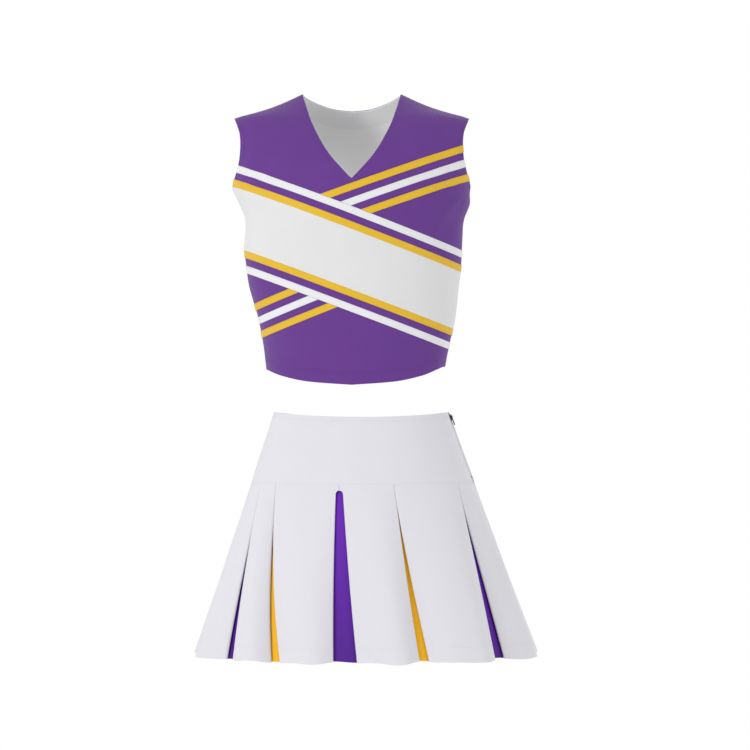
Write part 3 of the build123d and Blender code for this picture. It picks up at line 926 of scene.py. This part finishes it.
def yoke_grid(angles, downs, out):
    """Points at lengths down from the waistline; a negative one counts up from the yoke's seam."""
    top = waist_z(angles)
    rows, outs = [], []
    for d in downs:
        z = top - d if d >= 0 else np.full_like(angles, YOKE_Z - d)
        rows.append(z)
        rise = yoke_ripple(angles * 2.3, z) * np.clip((top - z) / 20, 0, 1) * np.clip((z - YOKE_Z) / 20, 0, 1)
        outs.append(out + rise + seam_dip(z))
    z = np.array(rows)
    t = np.broadcast_to(angles, z.shape)
    n = normals(skirt, t, z)
    return skirt(t, z) + n * np.array(outs)[..., None], n


def make_yoke():
    """The yoke's front and back, which stop at the zip's slot, with their facings and stitching."""
    seam = ZIP_T - 180
    slot, clear = degrees_for(ZIP_T, YOKE_Z / 2, ZIP_SLOT - 0.5), degrees_for(ZIP_T, 0, ZIP_CLEAR)
    spans = {"front": (seam + 0.05, ZIP_T - slot), "back": (ZIP_T + slot, seam + 359.95)}
    short = {"front": (seam + 0.05, ZIP_T - clear), "back": (ZIP_T + clear, seam + 359.95)}
    downs = [0, 0.5, 1.2, 2.5, 4, 6, 9, *np.arange(14, 80, 6), -9, -5, -3.2, -2, -1.2, -0.6, -0.1]
    edge_lines, seam_lines, made = [], [], {}
    for word in ("front", "back"):
        angles = np.linspace(*spans[word], 120)
        outer, n = yoke_grid(angles, downs, 0.0)
        inner, _ = yoke_grid(angles, downs, -FABRIC)
        points, faces = two_skins(outer, inner)
        piece = build(f"yoke_{word}_cloth", points, faces, SKIRT_CLOTH, "skirt", "skirt_white",
                      grid_uv(outer), [f"yoke_{word}"])  # fmt: skip
        made[word] = piece, points, faces
        edge_lines.append((outer[5], n[5]))
        seam_lines.append((outer[-4], n[-4]))
        column = -3 if word == "front" else 2
        edge_lines.append((outer[2:-3, column], n[2:-3, column]))
        angles = np.linspace(*short[word], 90)
        behind, facing_downs = -FABRIC - LAYER_GAP, [0.4, 4, 12, 20, 28, WAIST_FACING]
        outer, _ = yoke_grid(angles, facing_downs, behind)
        inner, _ = yoke_grid(angles, facing_downs, behind - FACING)
        points, faces = two_skins(outer, inner)
        facing = build(f"waist_facing_{word}_cloth", points, faces, FACING_CLOTH, "skirt", "facing",
                       grid_uv(outer), [f"waist_facing_{word}"])  # fmt: skip
        declare_strip(facing, WAIST_FACING * MM, [f"yoke_{word}"], points, faces)
    thread = stitches("waist_stitching", edge_lines, WHITE_THREAD, "skirt", "skirt_white")
    below = stitches("yoke_seam_stitching", seam_lines, WHITE_THREAD, "skirt", "skirt_white", pitch=3.0,
                     radius=0.2)  # fmt: skip
    for word, (piece, points, faces) in made.items():
        mine = [thread, below] if word == "front" else []
        declare(piece, YOKE_FLAT, "stretched", [f"waist_facing_{word}"], points, faces, mine)


make_pleats()
make_inserts()
make_yoke()


# ---------------------------------------------------------------- side zip
def on_zip(turn, z):
    """One point of the skirt's surface."""
    return skirt(np.array([turn]), np.array([z]))[0]


def make_tape(origin, axes):
    """The two halves of the zip's tape, as one piece."""
    rows, columns = 60, 9
    parts = []
    for sign in (-1, 1):
        down, over = np.linspace(TAPE_LOW, TAPE_TOP, rows), np.linspace(0.7, 8.5, columns)
        y, x = np.meshgrid(down, over, indexing="ij")
        bow = 0.05 * (x - 4.6) ** 2 / 4
        grids = [origin + np.stack([sign * x, y, 0 * x + z - bow], -1) @ axes for z in (-2.0, -2.5)]
        if sign < 0:
            grids = [g[:, ::-1] for g in grids]
        points, faces = solid(*(g.reshape(-1, 3) for g in grids), grid_faces(rows, columns))
        parts.append((points, faces, grid_uv(grids[0])))
    points, faces, uv = merge(parts)
    tape = build("zip_tape_cloth", points, faces, TAPE, "skirt", "zip_tape", uv, ["zip_tape"])
    declare(tape, TAPE_FLAT, "laid", ["yoke_front", "yoke_back"], points, faces)


def make_coil(word, sign, origin, axes):
    """A coil of nylon monofilament down one side of the zip."""
    per_turn, sides, radius = 12, 6, 0.22
    count = int((COIL_TOP - COIL_LOW) / COIL_PITCH * per_turn)
    turn = np.arange(count) * math.tau / per_turn + (0 if sign > 0 else math.pi / 2)
    y = COIL_TOP - np.arange(count) * COIL_PITCH / per_turn
    path = np.stack([sign * (1.35 + 0.72 * np.cos(turn)), y, -1.1 + 0.55 * np.sin(turn)], -1)
    along = np.gradient(path, axis=0)
    along /= np.linalg.norm(along, axis=1)[:, None]
    one = np.cross(along, [0, 1, 0])
    one /= np.linalg.norm(one, axis=1)[:, None]
    two = np.cross(along, one)
    around = np.arange(sides) * math.tau / sides
    ring = np.cos(around)[:, None] * one[:, None] + np.sin(around)[:, None] * two[:, None]
    tube = path[:, None] + radius * ring
    faces = []
    for i in range(count - 1):
        for j in range(sides):
            m = (j + 1) % sides
            faces.append([i * sides + j, i * sides + m, (i + 1) * sides + m, (i + 1) * sides + j])
    faces += [list(range(sides))[::-1], [(count - 1) * sides + j for j in range(sides)]]
    points = origin + tube.reshape(-1, 3) @ axes
    uv = np.repeat(np.stack([y, y], 1), sides, axis=0)
    build(f"zip_coil_{word}_nylon", points, faces, NYLON, "skirt", "zip_tape", uv, [f"zip_coil_{word}"])


def make_zip():
    """The tape and the two coils, in the zip's own frame: x across it, y up the cloth, z outwards."""
    top = on_zip(ZIP_T, 0.0)
    up = top - on_zip(ZIP_T, YOKE_Z)
    up = up / np.linalg.norm(up)
    side = on_zip(ZIP_T + 0.01, 0.0) - on_zip(ZIP_T - 0.01, 0.0)
    side -= up * (side @ up)
    side /= np.linalg.norm(side)
    axes = np.stack([side, up, np.cross(side, up)])
    make_tape(top, axes)
    for word, sign in [("front", -1), ("back", 1)]:
        make_coil(word, sign, top, axes)


make_zip()
for node, material in [
    ("zip_slider", DARK_METAL), ("zip_pull_tab", DARK_METAL), ("zip_top_stops", DARK_METAL),
    ("zip_bottom_stop", DARK_METAL), ("waist_hook", STEEL), ("waist_eye", STEEL),
]:  # fmt: skip
    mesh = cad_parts[node].data
    mesh.materials.clear()
    mesh.materials.append(material)

# ---------------------------------------------------------------- studio
bpy.ops.mesh.primitive_circle_add(vertices=96, radius=3.0, fill_type="NGON", location=(0, 0, -0.85))
floor = bpy.context.object
floor.name = "floor"
pale = bpy.data.materials.new("pale_floor")
pale.use_nodes = True
pale.node_tree.nodes["Principled BSDF"].inputs["Base Color"].default_value = (0.85, 0.85, 0.85, 1)
pale.node_tree.nodes["Principled BSDF"].inputs["Roughness"].default_value = 0.9
floor.data.materials.append(pale)


def softbox(name, where, size, power, target=(0, 0, 0.05)):
    """A square area light that faces the target."""
    light = bpy.data.lights.new(name, "AREA")
    light.size, light.energy = size, power
    lamp = bpy.data.objects.new(name, light)
    bpy.context.scene.collection.objects.link(lamp)
    lamp.location = where
    gaze = [t - w for t, w in zip(target, where)]
    lamp.rotation_euler = Vector(gaze).to_track_quat("-Z", "Y").to_euler()


softbox("key", (-2.6, -2.8, 1.2), 1.0, 72)
softbox("fill", (3.0, -1.9, 0.6), 2.0, 32)
softbox("back", (0.8, 3.2, 1.6), 1.8, 14)

# A white backdrop behind the uniform, and a dimmer room in front of it.
world = bpy.data.worlds.new("studio")
bpy.context.scene.world = world
world.use_nodes = True
nodes, links = world.node_tree.nodes, world.node_tree.links
split = nodes.new("ShaderNodeSeparateXYZ")
links.new(nodes.new("ShaderNodeTexCoord").outputs["Generated"], split.inputs["Vector"])
fade = nodes.new("ShaderNodeMapRange")
fade.inputs["From Min"].default_value, fade.inputs["From Max"].default_value = -0.6, 0.7
fade.inputs["To Min"].default_value, fade.inputs["To Max"].default_value = 0.5, 1.0
links.new(split.outputs["Y"], fade.inputs["Value"])
links.new(fade.outputs["Result"], nodes["Background"].inputs["Strength"])
nodes["Background"].inputs["Color"].default_value = (1, 1, 1, 1)
bpy.context.scene.view_settings.view_transform = "Standard"

# Level, from straight in front, and from far away.
DISTANCE, VIEW_WIDTH = 5.5, 1.0875
camera = bpy.data.objects.new("camera", bpy.data.cameras.new("camera"))
bpy.context.scene.collection.objects.link(camera)
camera.data.sensor_width = 36
camera.data.lens = 36 * DISTANCE / VIEW_WIDTH
camera.data.clip_end = 100
camera.location = (0.0196, -DISTANCE, 0.054)
camera.rotation_euler = (math.pi / 2, 0, 0)
bpy.context.scene.camera = camera
